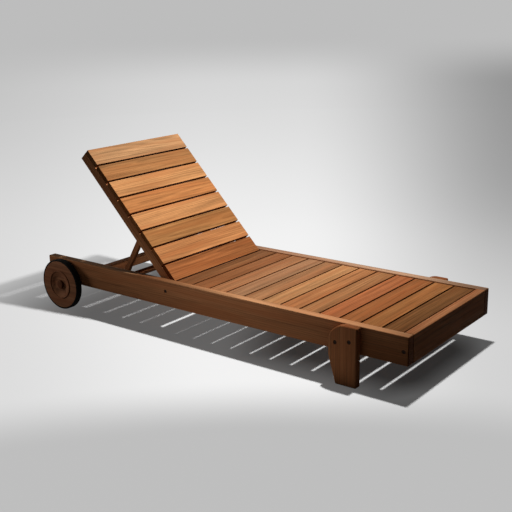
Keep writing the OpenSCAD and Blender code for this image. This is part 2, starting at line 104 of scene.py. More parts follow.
BAR_MIDDLE = middle_and_size("prop_bar")[0]
LEAN = math.atan2(PIVOT.z - BAR_MIDDLE.z, PIVOT.x - BAR_MIDDLE.x)
PROP_LENGTH = math.hypot(PIVOT.z - BAR_MIDDLE.z, PIVOT.x - BAR_MIDDLE.x)
on_back = Matrix.Translation(HINGE) @ Matrix.Rotation(TILT, 4, "Y")
on_prop = Matrix.Translation(PIVOT) @ Matrix.Rotation(-LEAN, 4, "Y")
print(f"tilt {math.degrees(TILT):.1f}, lean {math.degrees(LEAN):.1f}, prop {PROP_LENGTH * 1000:.0f} mm")

# %% [markdown]
# ## Making a board
#
# Every board starts as a cube of the board's size. Its long edges are eased with a Bevel modifier, as a router
# with a rounding cutter eases them. The modifier is applied, so that the board is plain mesh.
# A Weighted Normal modifier then keeps the wide faces flat to the light, and lets only the edges turn.

# %% Tools for boards
def only(piece):
    """Selects one object and makes it the active one."""
    bpy.ops.object.select_all(action="DESELECT")
    piece.select_set(True)
    bpy.context.view_layer.objects.active = piece


def edit(piece):
    """Opens a piece in edit mode with all of it selected."""
    only(piece)
    bpy.ops.object.mode_set(mode="EDIT")
    bpy.ops.mesh.select_all(action="SELECT")


def pick(piece, wanted, kind="vertices"):
    """Selects the vertices, edges or faces whose corners pass a test, and stays in edit mode."""
    bpy.ops.mesh.select_mode(type={"vertices": "VERT", "edges": "EDGE", "polygons": "FACE"}[kind])
    bpy.ops.mesh.select_all(action="DESELECT")
    bpy.ops.object.mode_set(mode="OBJECT")
    corners = piece.data.vertices
    for part in getattr(piece.data, kind):
        ends = [part.index] if kind == "vertices" else part.vertices
        part.select = bool(wanted([corners[i].co for i in ends]))
    bpy.ops.object.mode_set(mode="EDIT")


def apply_modifier(piece, kind, **settings):
    """Adds a modifier, sets it up and applies it."""
    only(piece)
    modifier = piece.modifiers.new(kind.title(), kind)
    for name, value in settings.items():
        setattr(modifier, name, value)
    bpy.ops.object.modifier_apply(modifier=modifier.name)


def settle(piece, place=None):
    """Moves a piece to its place and leaves its object at the origin, with the place in the mesh."""
    only(piece)
    if place is not None:
        piece.matrix_world = place @ piece.matrix_world
    bpy.ops.object.transform_apply(location=True, rotation=True, scale=True)


def cube(name, low, high):
    """A block between two corners."""
    low, high = Vector(low), Vector(high)
    bpy.ops.object.select_all(action="DESELECT")
    bpy.ops.mesh.primitive_cube_add(size=1, location=(low + high) / 2, scale=high - low)
    piece = bpy.context.object
    piece.name = name
    settle(piece)
    return piece


def ease(piece, radius, segments=3):
    """Rounds every edge of more than 35 degrees, as sanding does."""
    apply_modifier(piece, "BEVEL", width=radius, segments=segments, limit_method="ANGLE",
                   angle_limit=math.radians(35), use_clamp_overlap=True)


def smooth(piece):
    """Shades rounded edges smoothly and keeps the wide faces beside them flat."""
    only(piece)
    bpy.ops.object.shade_smooth_by_angle(angle=math.radians(40))
    apply_modifier(piece, "WEIGHTED_NORMAL", keep_sharp=True, weight=60)


# %% [markdown]
# ## Turning and drilling
#
# Wheels, tyres, caps and bolts are round. Each is drawn as one half of its section and spun round an axis,
# as on a lathe, which keeps the outline in one list of radii and heights.
# A counterbore is drilled with a Boolean modifier. Its drill is also turned, with a small chamfer at the mouth.

# %% Tools for turned pieces and drilled holes
def lathe(name, outline, steps=96):
    """Spins a closed outline of (radius, height) points round the Z axis."""
    bpy.ops.object.select_all(action="DESELECT")
    bpy.ops.mesh.primitive_circle_add(vertices=len(outline), radius=1)
    piece = bpy.context.object
    piece.name = name
    for corner, (radius, height) in zip(piece.data.vertices, outline):
        corner.co = (radius, 0, height)
    edit(piece)
    bpy.ops.mesh.spin(steps=steps, angle=2 * math.pi, center=(0, 0, 0), axis=(0, 0, 1))
    bpy.ops.mesh.select_all(action="SELECT")
    bpy.ops.mesh.remove_doubles(threshold=1e-6)
    bpy.ops.mesh.delete_loose(use_verts=True, use_edges=True)
    bpy.ops.mesh.select_all(action="SELECT")
    bpy.ops.mesh.normals_make_consistent(inside=False)
    bpy.ops.object.mode_set(mode="OBJECT")
    return piece


def cut(piece, tool):
    """Takes a tool's shape out of a piece, and removes the tool."""
    apply_modifier(piece, "BOOLEAN", object=tool, operation="DIFFERENCE", solver="EXACT")
    bpy.data.objects.remove(tool)


def outward(x, z, face_y):
    """A place on a side face of the lounger, with Z pointing out of it."""
    side = math.copysign(1, face_y)
    return Matrix.Translation((x, face_y, z)) @ Matrix.Rotation(-side * math.pi / 2, 4, "X")


def counterbore(piece, place, radius=0.0081, depth=0.008, chamfer=0.0009):
    """Drills a flat-bottomed hole with a chamfered mouth, from the place inwards along its -Z."""
    mouth, above = radius + chamfer, 0.003
    tool = lathe("drill", [(0, -depth), (radius, -depth), (radius, -chamfer), (mouth, 0), (mouth, above),
                           (0, above)], steps=40)
    settle(tool, place)
    cut(piece, tool)


# %% [markdown]
# ## Shader nodes in short
#
# Materials are written as nodes. One helper adds a node, sets it up and plugs in its inputs, so that each
# material reads as a list of steps. A second helper makes a node group with named inputs and outputs.

# %% Tools for shader nodes
def add(tree, kind, inputs=None, **settings):
    """Adds a shader node. An input is a number, a colour, a vector or another node's socket."""
    node = tree.nodes.new("ShaderNode" + kind)
    for name, value in settings.items():
        setattr(node, name, value)
    for name, value in (inputs or {}).items():
        if isinstance(value, bpy.types.NodeSocket):
            tree.links.new(value, node.inputs[name])
        else:
            node.inputs[name].default_value = value
    return node


def math_node(tree, operation, a, b=0.0, c=0.0):
    """One step of arithmetic with numbers or sockets."""
    return add(tree, "Math", {0: a, 1: b, 2: c}, operation=operation).outputs[0]


def stretched_noise(tree, vector, scale, detail=2.0, roughness=0.5):
    """Noise whose marks are drawn out along X, because X is scaled less than Y and Z."""
    scaled = add(tree, "VectorMath", {0: vector, 1: scale}, operation="MULTIPLY").outputs[0]
    noise = add(tree, "TexNoise", {"Vector": scaled, "Scale": 1.0, "Detail": detail, "Roughness": roughness})
    return noise.outputs["Fac"]


def spread(tree, value, low, high, to_low=0.0, to_high=1.0):
    """Maps a range of values onto another one, smoothly and clamped."""
    return add(tree, "MapRange", {"Value": value, "From Min": low, "From Max": high, "To Min": to_low,
                                  "To Max": to_high}, interpolation_type="SMOOTHSTEP").outputs["Result"]


def mix_values(tree, fac, a, b):
    """Mixes two numbers. A Mix node has sockets for every type of data, and its numbers are inputs 2 and 3."""
    return add(tree, "Mix", {0: fac, 2: a, 3: b}).outputs[0]


def mix_colours(tree, fac, a, b, blend="MIX"):
    """Mixes two colours, which are inputs 6 and 7 of a Mix node."""
    return add(tree, "Mix", {0: fac, 6: a, 7: b}, data_type="RGBA", blend_type=blend).outputs[2]


def new_group(name, inputs, outputs):
    """A shader node group. Its sockets are given as {name: (type, value)} and {name: type}."""
    group = bpy.data.node_groups.new(name, "ShaderNodeTree")
    for label, (kind, value) in inputs.items():
        socket = group.interface.new_socket(name=label, in_out="INPUT", socket_type="NodeSocket" + kind)
        if value is not None:
            socket.default_value = value
    for label, kind in outputs.items():
        group.interface.new_socket(name=label, in_out="OUTPUT", socket_type="NodeSocket" + kind)
    return group, group.nodes.new("NodeGroupInput").outputs, group.nodes.new("NodeGroupOutput").inputs


# %% [markdown]
# ## Hardwood grain
#
# The boards are oiled tropical hardwood. Its colour comes in three layers: growth rings, which a flat-sawn
# board cuts into long arches; broad streaks, up to a centimetre wide; and fine fibres with open pores.
# A picture of wood could be wrapped round each board, but it would repeat and need image files.
# Here the rings are distances from a pith line that lies beside the board, bent a little along its length,
# and the rest is noise drawn out along the grain. Each board has its own pith and seed, as if cut from its own log,
# and end grain comes by itself, because the pattern fills the board.

# %% The grain group
grain, g_in, g_out = new_group(
    "hardwood grain",
    {"Vector": ("Vector", None), "Seed": ("Float", 0.0), "Pith": ("Vector", (0, 0.03, -0.05)),
     "Ring Width": ("Float", 0.006), "Figure": ("Float", 1.0), "Pale": ("Color", (0.5, 0.25, 0.12, 1)),
     "Deep": ("Color", (0.2, 0.07, 0.03, 1)), "Red": ("Color", (0.4, 0.13, 0.05, 1))},
    {"Color": "Color", "Roughness": "Float", "Height": "Float"})
WANDER = 0.036  # how far the rings wander from side to side, in metres


def from_middle(value):
    """A value of noise, measured from its middle."""
    return math_node(grain, "SUBTRACT", value, 0.5)


seed_shift = add(grain, "VectorMath", {0: (3.1, 1.7, 2.3), "Scale": g_in["Seed"]}, operation="SCALE").outputs[0]
seeded = add(grain, "VectorMath", {0: g_in["Vector"], 1: seed_shift}, operation="ADD").outputs[0]

bend = stretched_noise(grain, seeded, (1.1, 7, 7), 2)
from_pith = add(grain, "VectorMath", {0: g_in["Vector"], 1: g_in["Pith"]}, operation="SUBTRACT").outputs[0]
across = add(grain, "VectorMath", {0: from_pith, 1: (0, 1, 1)}, operation="MULTIPLY").outputs[0]
distance = add(grain, "VectorMath", {0: across}, operation="LENGTH").outputs["Value"]
bent = math_node(grain, "MULTIPLY_ADD", bend, WANDER, distance)
ring = math_node(grain, "FRACT", math_node(grain, "DIVIDE", bent, g_in["Ring Width"]))
# A ring darkens slowly into its late wood, and ends at once.
late_wood = math_node(grain, "MULTIPLY", spread(grain, ring, 0.25, 0.9), spread(grain, ring, 1.0, 0.93))

# The scales are marks per metre, few along the grain and many across it.
broad = stretched_noise(grain, seeded, (1.6, 24, 24), 3)
streaks = stretched_noise(grain, seeded, (3.2, 95, 95), 4, 0.6)
fibres = stretched_noise(grain, seeded, (16, 520, 520), 2, 0.6)
pores = spread(grain, stretched_noise(grain, seeded, (70, 1700, 1700), 1), 0.63, 0.75)

# Each layer swings the tone about its middle, by its own weight. Late wood only darkens it.
tone = 0.5
for layer, weight in ((streaks, 1.5), (broad, 1.1), (fibres, 0.5)):
    tone = math_node(grain, "MULTIPLY_ADD", from_middle(layer), weight, tone)
tone = math_node(grain, "MULTIPLY_ADD", late_wood, -0.3, tone)
tone = math_node(grain, "MULTIPLY_ADD", from_middle(tone), g_in["Figure"], 0.55)
colour = mix_colours(grain, tone, g_in["Deep"], g_in["Pale"])
redness = spread(grain, stretched_noise(grain, seeded, (2.0, 30, 30), 2), 0.4, 0.7, 0.0, 0.55)
colour = mix_colours(grain, redness, colour, g_in["Red"])
colour = mix_colours(grain, math_node(grain, "MULTIPLY", pores, 0.45), colour, g_in["Deep"])

# Dark streaks and open pores are rougher. Fibres and late wood stand up, and pores are pits.
grain.links.new(colour, g_out["Color"])
rough = math_node(grain, "MULTIPLY_ADD", from_middle(streaks), -0.22, 0.5)
grain.links.new(math_node(grain, "MULTIPLY_ADD", pores, 0.15, rough), g_out["Roughness"])
relief = math_node(grain, "MULTIPLY_ADD", fibres, 0.5, math_node(grain, "MULTIPLY", late_wood, 0.35))
grain.links.new(math_node(grain, "MULTIPLY_ADD", pores, -0.8, relief), g_out["Height"])
print("grain group with", len(grain.nodes), "nodes")

# %% [markdown]
# ## Worn edges and scuffs
#
# Hands and weather wear the edges of a board first: the oil goes and the wood turns paler there.
# The Bevel node looks round each point, and where its averaged normal leaves the true one, an edge is near.
# Noise breaks the mask up. A second group gives the steel, rubber and plastic their fine speckle.

# %% The edge and scuff groups
edges, e_in, e_out = new_group("worn edges", {"Vector": ("Vector", None), "Radius": ("Float", 0.003)},
                               {"Mask": "Float"})
rounded = add(edges, "Bevel", {"Radius": e_in["Radius"]}, samples=6).outputs[0]
true_normal = add(edges, "NewGeometry").outputs["Normal"]
agreement = add(edges, "VectorMath", {0: rounded, 1: true_normal}, operation="DOT_PRODUCT").outputs["Value"]
near_edge = spread(edges, agreement, 0.995, 0.9)
patches = spread(edges, stretched_noise(edges, e_in["Vector"], (40, 40, 40), 3, 0.6), 0.3, 0.7, 0.35, 1.0)
edges.links.new(math_node(edges, "MULTIPLY", near_edge, patches), e_out["Mask"])

scuffs, s_in, s_out = new_group("scuffs", {"Vector": ("Vector", None), "Scale": ("Float", 400.0)},
                                {"Speckle": "Float", "Cloud": "Float"})
speckle = add(scuffs, "TexNoise", {"Vector": s_in["Vector"], "Scale": s_in["Scale"], "Detail": 3.0})
cloud = add(scuffs, "TexNoise", {"Vector": s_in["Vector"], "Scale": 35.0, "Detail": 3.0})
scuffs.links.new(speckle.outputs["Fac"], s_out["Speckle"])
scuffs.links.new(cloud.outputs["Fac"], s_out["Cloud"])

# %% [markdown]
# ## The wood material
#
# One recipe serves every board. A Mapping node turns the board's long side onto the grain's X axis and puts the
# board's middle at zero. What changes from board to board is the colour, the seed and the pith, because a
# lounger is made from boards of several trees: some are tan, some are red.
# End grain drinks more oil and is darker. The sides of the slats are painted darker, as the shade in the gaps
# between them.
# Both could be pieces of their own, but the way that the surface faces already tells them apart.

# %% The wood recipe
# Each turn lays a board's long side along the grain's X axis.
LENGTHWISE, CROSSWISE, UPRIGHT = (0, 0, 0), (0, 0, math.pi / 2), (0, -math.pi / 2, 0)
# Dark grain, pale grain, red streaks and worn edges are given as shares of a board's mean colour.
DEEP, PALE, RED, WORN = 0.52, 1.42, (0.98, 0.80, 0.72), 1.9
# The colours of end grain and of the slats' sides are multiplied by these. On the sides this is painted shade.
END_GRAIN, SIDE_SHADE_IN_GAPS = (0.50, 0.42, 0.36, 1.0), (0.50, 0.38, 0.30, 1.0)
RAIL_BROWN = (0.46, 0.19, 0.080)
# A rail's top begins where its rounded edge does. Its tone changes between these places along the rail.
RAIL_EDGE, UNDER_BACK_TO_SEAT, SEAT_TO_FOOT = 0.004, (-0.47, -0.37), (-0.42, 0.30)


def tint(colour, shares):
    """A colour with each channel multiplied by its share."""
    return tuple(channel * share for channel, share in zip(colour, shares)) + (1.0,)


def shade(colour, factor):
    """A colour made lighter or darker."""
    return tint(colour, (factor,) * 3)


def bleach_and_painted_light(tree, place, height, weights):
    """What a rail's colour is multiplied by, for bleaching and painted light and shade: on its sides a painted shade
    that lightens with the height, and on its top one weight under the back, one where the seat begins and one
    towards the foot end."""
    under_back, seat_start, foot_end = weights
    spot = add(tree, "SeparateXYZ", {0: place}).outputs
    # Painted shade: the sides are darker towards the bottom, partly by the wood's own colour.
    painted_side_shade = spread(tree, spot["Z"], -height, height, 0.78, 1.08)
    on_sides = add(tree, "CombineColor", {0: painted_side_shade, 1: painted_side_shade, 2: painted_side_shade}).outputs[0]
    # The top's weights carry bleaching, and on the near rail also painted light under the back and painted shade
    # where the seat begins.
    on_top = mix_colours(tree, spread(tree, spot["X"], *SEAT_TO_FOOT), seat_start, foot_end)
    on_top = mix_colours(tree, spread(tree, spot["X"], *UNDER_BACK_TO_SEAT), under_back, on_top)
    return mix_colours(tree, spread(tree, spot["Z"], height - RAIL_EDGE, height), on_sides, on_top)


def wood(name, middle, turn, colour, seed, pith=(0, 0.03, -0.06), ring=0.006, figure=1.0, wear=0.25, sides=None,
         bleach_and_light=None):
    """Oiled hardwood of one mean colour, with the grain along the board and dark end grain.
    sides is a weight for painted shade on the slats' sides, in the gaps between them. The last argument is a rail's
    half height and the three weights of its top, for bleaching and painted light and shade."""
    material = bpy.data.materials.new("wood_" + name)
    material.use_nodes = True
    tree = material.node_tree
    shader = tree.nodes["Principled BSDF"]
    coordinates = add(tree, "TexCoord").outputs
    place = add(tree, "Mapping", {"Vector": coordinates["Object"], "Location": middle, "Rotation": turn},
                vector_type="TEXTURE").outputs[0]
    normal = add(tree, "Mapping", {"Vector": coordinates["Normal"], "Rotation": turn}, vector_type="TEXTURE")
    facing = add(tree, "VectorMath", {0: normal.outputs[0]}, operation="ABSOLUTE").outputs[0]
    facing = add(tree, "SeparateXYZ", {0: facing}).outputs
    figured = add(tree, "Group", node_tree=grain)
    for label, value in {"Seed": seed, "Pith": pith, "Ring Width": ring, "Figure": figure,
                         "Pale": shade(colour, PALE), "Deep": shade(colour, DEEP), "Red": tint(colour, RED)}.items():
        figured.inputs[label].default_value = value
    tree.links.new(place, figured.inputs["Vector"])
    worn = add(tree, "Group", node_tree=edges)
    tree.links.new(place, worn.inputs["Vector"])
    worn_share = math_node(tree, "MULTIPLY", worn.outputs["Mask"], wear)
    tone = mix_colours(tree, worn_share, figured.outputs["Color"], shade(colour, WORN))
    # The end-grain mask reaches well round the eased edges, so it also paints shade on the lit top edges of the
    # legs.
    tone = mix_colours(tree, spread(tree, facing["X"], 0.2, 0.75), tone, END_GRAIN, "MULTIPLY")
    # Painted shade: the sides of the slats are darker, as in the gaps between them.
    if sides:
        tone = mix_colours(tree, spread(tree, facing["Y"], 0.3, 0.9), tone, sides, "MULTIPLY")
    # Bleaching, with painted light and shade, on the rails.
    if bleach_and_light:
        tone = mix_colours(tree, 1.0, tone, bleach_and_painted_light(tree, place, *bleach_and_light), "MULTIPLY")
    tree.links.new(tone, shader.inputs["Base Color"])
    tree.links.new(figured.outputs["Roughness"], shader.inputs["Roughness"])
    bump = add(tree, "Bump", {"Strength": 0.5, "Distance": 0.0004, "Height": figured.outputs["Height"]})
    tree.links.new(bump.outputs[0], shader.inputs["Normal"])
    shader.inputs["Specular IOR Level"].default_value = 0.01
    return material


def finish(piece, material, body, slot, *nodes):
    """Gives a piece its material and its body, smooths it and hides the nodes that it stands for. Its slot is not
    used.
    """
    piece.data.materials.clear()
    piece.data.materials.append(material)
    piece.data.name = piece.name
    smooth(piece)
    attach(piece, body)
    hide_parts(*nodes)
    return piece


# %% [markdown]
# ## Side rails
#
# The rails are two metres long, with softly rounded edges. Each has a housing over the axle beam, and counterbores
# for the hinge bolt and the foot board's bolt. They start as cubes, the edges are eased, and the housing
# and the bores are cut after that, so that they stay crisp as on the real rail.
# Sun and rain have bleached their tops. Where the seat begins, the near top is darker: partly unbleached brown and
# partly painted shade at the edge of the back's shadow.
# Under the back it is painted lighter: partly bleaching and partly painted light in that shadow. The sides are
# painted darker towards the bottom, partly the wood's own colour and partly painted shade.
# A strip laid on top could show this, but weights by the place on the board do it without a seam.

# %% The two side rails
BEYOND = 0.01  # how far a cutting block stands out of the wood
# The tops are multiplied by these under the back, where the seat begins and towards the foot end. They carry the
# bleaching, and on the near rail also painted light under the back and painted shade where the seat begins.
TOP_TONES = {"right": ((0.86, 1.10, 1.30, 1.0), (0.38, 0.35, 0.32, 1.0), (1.06, 1.27, 1.42, 1.0)),
             "left": ((0.78, 1.10, 1.60, 1.0), (0.76, 1.05, 1.52, 1.0), (0.80, 1.12, 1.60, 1.0))}
board_bolt = middle_and_size("foot_board_bolts")[0]
beam_low, beam_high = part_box("axle_beam")

for side, name in ((-1, "right"), (1, "left")):
    low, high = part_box("side_rail_" + name)
    rail = cube("rail_" + name, low, high)
    ease(rail, RAIL_EDGE, 4)
    cut(rail, cube("housing", (beam_low.x, low.y - BEYOND, 0), (beam_high.x, high.y + BEYOND, beam_high.z)))
    outer = side * max(abs(low.y), abs(high.y))
    counterbore(rail, outward(HINGE.x, HINGE.z, outer))
    counterbore(rail, outward(board_bolt.x, board_bolt.z, outer))
    finish(rail, wood("rail_" + name, (low + high) / 2, LENGTHWISE, RAIL_BROWN, 3.3 + side,
                      pith=(0, side * 0.05, -0.16), ring=0.009, figure=0.8,
                      bleach_and_light=((high.z - low.z) / 2, TOP_TONES[name])), "frame", "frame_wood",
           "side_rail_" + name)
    print(rail.name, len(rail.data.polygons), "faces")

# %% [markdown]
# ## Foot board and axle beam
#
# The foot board closes the frame between the rails' ends, and the axle beam carries the wheels. Both are plain
# boards with eased edges, so the cube and the Bevel modifier are enough.

# %% The two cross pieces of the frame
for node, seed in (("foot_board", 11.0), ("axle_beam", 12.4)):
    low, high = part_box(node)
    piece = cube("cross_" + node, low, high)
    ease(piece, 0.003, 3)
    finish(piece, wood(node, (low + high) / 2, CROSSWISE, RAIL_BROWN, seed, pith=(0, 0.09, -0.03), ring=0.008),
           "frame", "frame_wood", node)

# %% [markdown]
# ## Slats
#
# The twenty slats are alike, so one is modelled and copied with its own mesh. They differ in colour and grain only.
# The colours follow the photograph: the back is an even orange tan, and the seat alternates between tan and
# reddish slats.

# %% The slat
# The mean colour of each slat, counted from the foot end in the seat and from the hinge in the back.
SEAT_TONES = {1: (0.211, 0.088, 0.029), 2: (0.320, 0.128, 0.041), 3: (0.278, 0.100, 0.033),
              4: (0.322, 0.107, 0.039), 5: (0.297, 0.132, 0.052), 6: (0.370, 0.152, 0.058),
              7: (0.410, 0.197, 0.081), 8: (0.330, 0.154, 0.068), 9: (0.330, 0.167, 0.082),
              10: (0.371, 0.168, 0.074), 11: (0.277, 0.111, 0.044), 12: (0.220, 0.092, 0.037)}
BACK_TONES = {1: (0.339, 0.120, 0.040), 2: (0.490, 0.207, 0.076), 3: (0.389, 0.174, 0.060),
              4: (0.540, 0.246, 0.095), 5: (0.480, 0.195, 0.067), 6: (0.545, 0.256, 0.100),
              7: (0.370, 0.167, 0.062), 8: (0.474, 0.249, 0.114)}

low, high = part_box("seat_slat_1")
slat_size = high - low
first_slat = cube("slat", -slat_size / 2, slat_size / 2)
ease(first_slat, 0.0016, 3)


def copy_of(piece, name, place):
    """A copy with its own mesh, at its own place."""
    twin = piece.copy()
    twin.data = piece.data.copy()
    twin.name = name
    bpy.context.collection.objects.link(twin)
    settle(twin, place)
    return twin


# %% Its copies in the seat and in the back
# The sines give each slat a pith of its own, so that no two neighbours are alike.
for number, tone_of in SEAT_TONES.items():
    middle = middle_and_size(f"seat_slat_{number}")[0]
    slat = copy_of(first_slat, f"slat_seat_{number}", Matrix.Translation(middle))
    pith = (0, 0.05 * math.sin(2.1 * number), -0.045 - 0.03 * math.cos(1.3 * number))
    finish(slat, wood(slat.name, middle, CROSSWISE, tone_of, 20 + 1.37 * number, pith, wear=0.12, sides=SIDE_SHADE_IN_GAPS),
           "frame", "slat_wood", f"seat_slat_{number}")

for number, tone_of in BACK_TONES.items():
    middle = middle_and_size(f"back_slat_{number}")[0]
    turned = Matrix.Translation(middle) @ Matrix.Rotation(TILT, 4, "Y")
    slat = copy_of(first_slat, f"slat_back_{number}", turned)
    pith = (0, 0.05 * math.sin(1.7 * number + 1), -0.05 - 0.03 * math.cos(2.3 * number))
    # The Mapping node turns about X first and Z last, so the slat's tilt becomes a turn about the grain axis.
    finish(slat, wood(slat.name, middle, (TILT, 0, math.pi / 2), tone_of, 50 + 1.61 * number, pith, wear=0.12,
                      sides=SIDE_SHADE_IN_GAPS), "backrest", "slat_wood", f"back_slat_{number}")
bpy.data.objects.remove(first_slat)
print("slats of", [round(v * 1000) for v in slat_size], "mm")

# %% [markdown]
# ## Stiles and prop
#
# The stiles carry the back's slats, and turn on the hinge bolts. The prop's arms turn on the stiles. Each has a
# round end at its pivot, so a cube is drawn past the pivot and its two end edges are bevelled until they meet.

# %% Stiles and arms
HAIR = 1e-5  # two bevels that met exactly would fold over, so they stop this far apart


def round_ended(name, length, width, depth, y, place, rounding):
    """A board along -X with a round end at the pivot, which is at zero."""
    piece = cube(name, (-length, y - width / 2, -depth / 2), (depth / 2, y + width / 2, depth / 2))
    edit(piece)
    pick(piece, lambda ends: all(abs(p.x - depth / 2) < HAIR for p in ends)
         and abs(ends[0].z - ends[1].z) < HAIR, "edges")
    bpy.ops.mesh.bevel(offset=depth / 2 - HAIR, segments=12, affect="EDGES")
    bpy.ops.object.mode_set(mode="OBJECT")
    ease(piece, rounding, 3)
    settle(piece, place)
    return piece


# The depths of the stiles and the arms, the side of the bar, and the place of an arm's grain along it.
STILE_D, ARM_D, BAR_SIDE, ARM_MIDDLE = 0.040, 0.024, 0.022, 0.14
stile_low, stile_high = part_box("back_stile_right")
stile_w = stile_high.y - stile_low.y
stile_l = (HINGE.x - stile_low.x - STILE_D / 2 * math.sin(TILT)) / math.cos(TILT)
arm_low, arm_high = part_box("prop_arm_right")
arm_w = arm_high.y - arm_low.y

for side, name in ((-1, "right"), (1, "left")):
    y = side * abs((stile_low.y + stile_high.y) / 2)
    stile = round_ended("stile_" + name, stile_l, stile_w, STILE_D, y, on_back, 0.0025)
    finish(stile, wood(stile.name, on_back @ Vector((-stile_l / 2, y, 0)), (0, TILT, 0), RAIL_BROWN, 70 + side,
                       pith=(0, 0.06, -0.05), ring=0.007), "backrest", "frame_wood", "back_stile_" + name)
    y = side * abs((arm_low.y + arm_high.y) / 2)
    arm = round_ended("arm_" + name, PROP_LENGTH - BAR_SIDE / 2, arm_w, ARM_D, y, on_prop, 0.002)
    finish(arm, wood(arm.name, on_prop @ Vector((-ARM_MIDDLE, y, 0)), (0, -LEAN, 0), RAIL_BROWN, 75 + side,
                     pith=(0, 0.04, -0.04)), "prop", "frame_wood", "prop_arm_" + name)
print("stiles", round(stile_l * 1000), "mm from the hinge")

# %% [markdown]
# The crossbar is square between the arms and has a round tenon at each end, which drops into the notches.
# Extruding the square ends would give square tenons. Here the bar starts as a long cube, each tenon is turned,
# and a Boolean modifier joins them, so that the bar stays one piece.

# %% The prop's crossbar
TENON_R, TENON_CHAMFER, OVERLAP = 0.009, 0.0015, 0.004
bar_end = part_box("prop_bar")[1].y
arm_outer = max(abs(arm_low.y), abs(arm_high.y))
root = arm_outer - OVERLAP
bar = cube("crossbar", (-BAR_SIDE / 2, -arm_outer, -BAR_SIDE / 2), (BAR_SIDE / 2, arm_outer, BAR_SIDE / 2))
ease(bar, 0.0018, 3)
for side in (-1, 1):
    tenon = lathe("tenon", [(0, root), (TENON_R, root), (TENON_R, bar_end - TENON_CHAMFER),
                            (TENON_R - TENON_CHAMFER, bar_end), (0, bar_end)], steps=40)
    settle(tenon, Matrix.Rotation(-side * math.pi / 2, 4, "X"))
    apply_modifier(bar, "BOOLEAN", object=tenon, operation="UNION", solver="EXACT")
    bpy.data.objects.remove(tenon)
settle(bar, on_prop @ Matrix.Translation((-PROP_LENGTH, 0, 0)))
finish(bar, wood("crossbar", BAR_MIDDLE, CROSSWISE, RAIL_BROWN, 81.0), "prop", "frame_wood", "prop_bar")

# %% [markdown]
# ## Legs
#
# A leg is a thick board with a tapered head side and one large round corner at its top. The taper is a cut across
# the cube with Bisect, after which the lower edge is moved. The round corner is one edge with a wide bevel,
# and all edges are softened more than on the rails, as the photograph shows.

# %% The two legs
bolts_low, bolts_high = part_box("leg_bolts")
LEG_CORNER, LEG_EDGE, HEAD_R = 0.076, 0.0055, 0.008
TAPER_START, TAPER = 0.013, 0.034  # how far below the rail the taper starts, and what it takes off the foot
NEAR = 0.001  # corners within a millimetre count as lying on a face
leg_bolt_spots = ((bolts_low.x + HEAD_R, bolts_low.z + HEAD_R), (bolts_high.x - HEAD_R, bolts_high.z - HEAD_R))

for side, name in ((-1, "right"), (1, "left")):
    low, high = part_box("leg_" + name)
    rail_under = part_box("side_rail_" + name)[0].z
    leg = cube("leg_post_" + name, low, high)
    edit(leg)
    bpy.ops.mesh.bisect(plane_co=(0, 0, rail_under - TAPER_START), plane_no=(0, 0, 1))
    pick(leg, lambda ends: all(p.z < NEAR and p.x < low.x + NEAR for p in ends))
    bpy.ops.transform.translate(value=(TAPER, 0, 0))
    pick(leg, lambda ends: all(p.z > high.z - NEAR and p.x < low.x + NEAR for p in ends), "edges")
    bpy.ops.mesh.bevel(offset=LEG_CORNER, segments=20, affect="EDGES")
    bpy.ops.object.mode_set(mode="OBJECT")
    ease(leg, LEG_EDGE, 4)
    outer = side * max(abs(low.y), abs(high.y))
    for x, z in leg_bolt_spots:
        counterbore(leg, outward(x, z, outer))
    finish(leg, wood(leg.name, (low + high) / 2, UPRIGHT, RAIL_BROWN, 90 + side, pith=(0, 0.02, 0.07), ring=0.007,
                     wear=0.06), "frame", "frame_wood", "leg_" + name)
    print(leg.name, len(leg.data.polygons), "faces")

# %% [markdown]
# ## Wheels
#
# Each wheel is a turned disc of solid wood with a bead round a shallow bowl, and a thin tyre round its rim.
# Sections like these are what a lathe makes, so the outline is one list, and the curve of the bowl is worked out
# from a cosine. The grain runs straight across the disc, which shows that it was cut from a plank.

# %% The sections of the wheel, the tyre and the cap
AXLE = Vector(joints["wheel_right_spin"]["pos_m"])
rail_out = abs(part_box("side_rail_right")[0].y)
tyre_low, tyre_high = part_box("tyre_right")
cap_low, cap_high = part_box("hub_cap_right")
wheel_low, wheel_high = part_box("wheel_right")
TYRE_R, WOOD_R = (tyre_high.z - tyre_low.z) / 2, (wheel_high.z - wheel_low.z) / 2
# The heights of a section are measured outwards from the rail's outer face.
BACK_Z, RIM_Z = -tyre_high.y - rail_out, -tyre_low.y - rail_out
BEAD_Z, FLOOR_Z = -wheel_low.y - rail_out, -cap_high.y - rail_out
BUSH_R, DISH_R, DISH_SLOPE, BOWL_STEPS = 0.010, 0.064, 0.030, 10
RIM_EDGE, BEAD_W, GROOVE = 0.003, 0.006, 0.001
CAP_R, CAP_Z = (cap_high.z - cap_low.z) / 2, -cap_low.y - rail_out
CAP_WALL, CAP_EDGE = 0.0022, 0.004

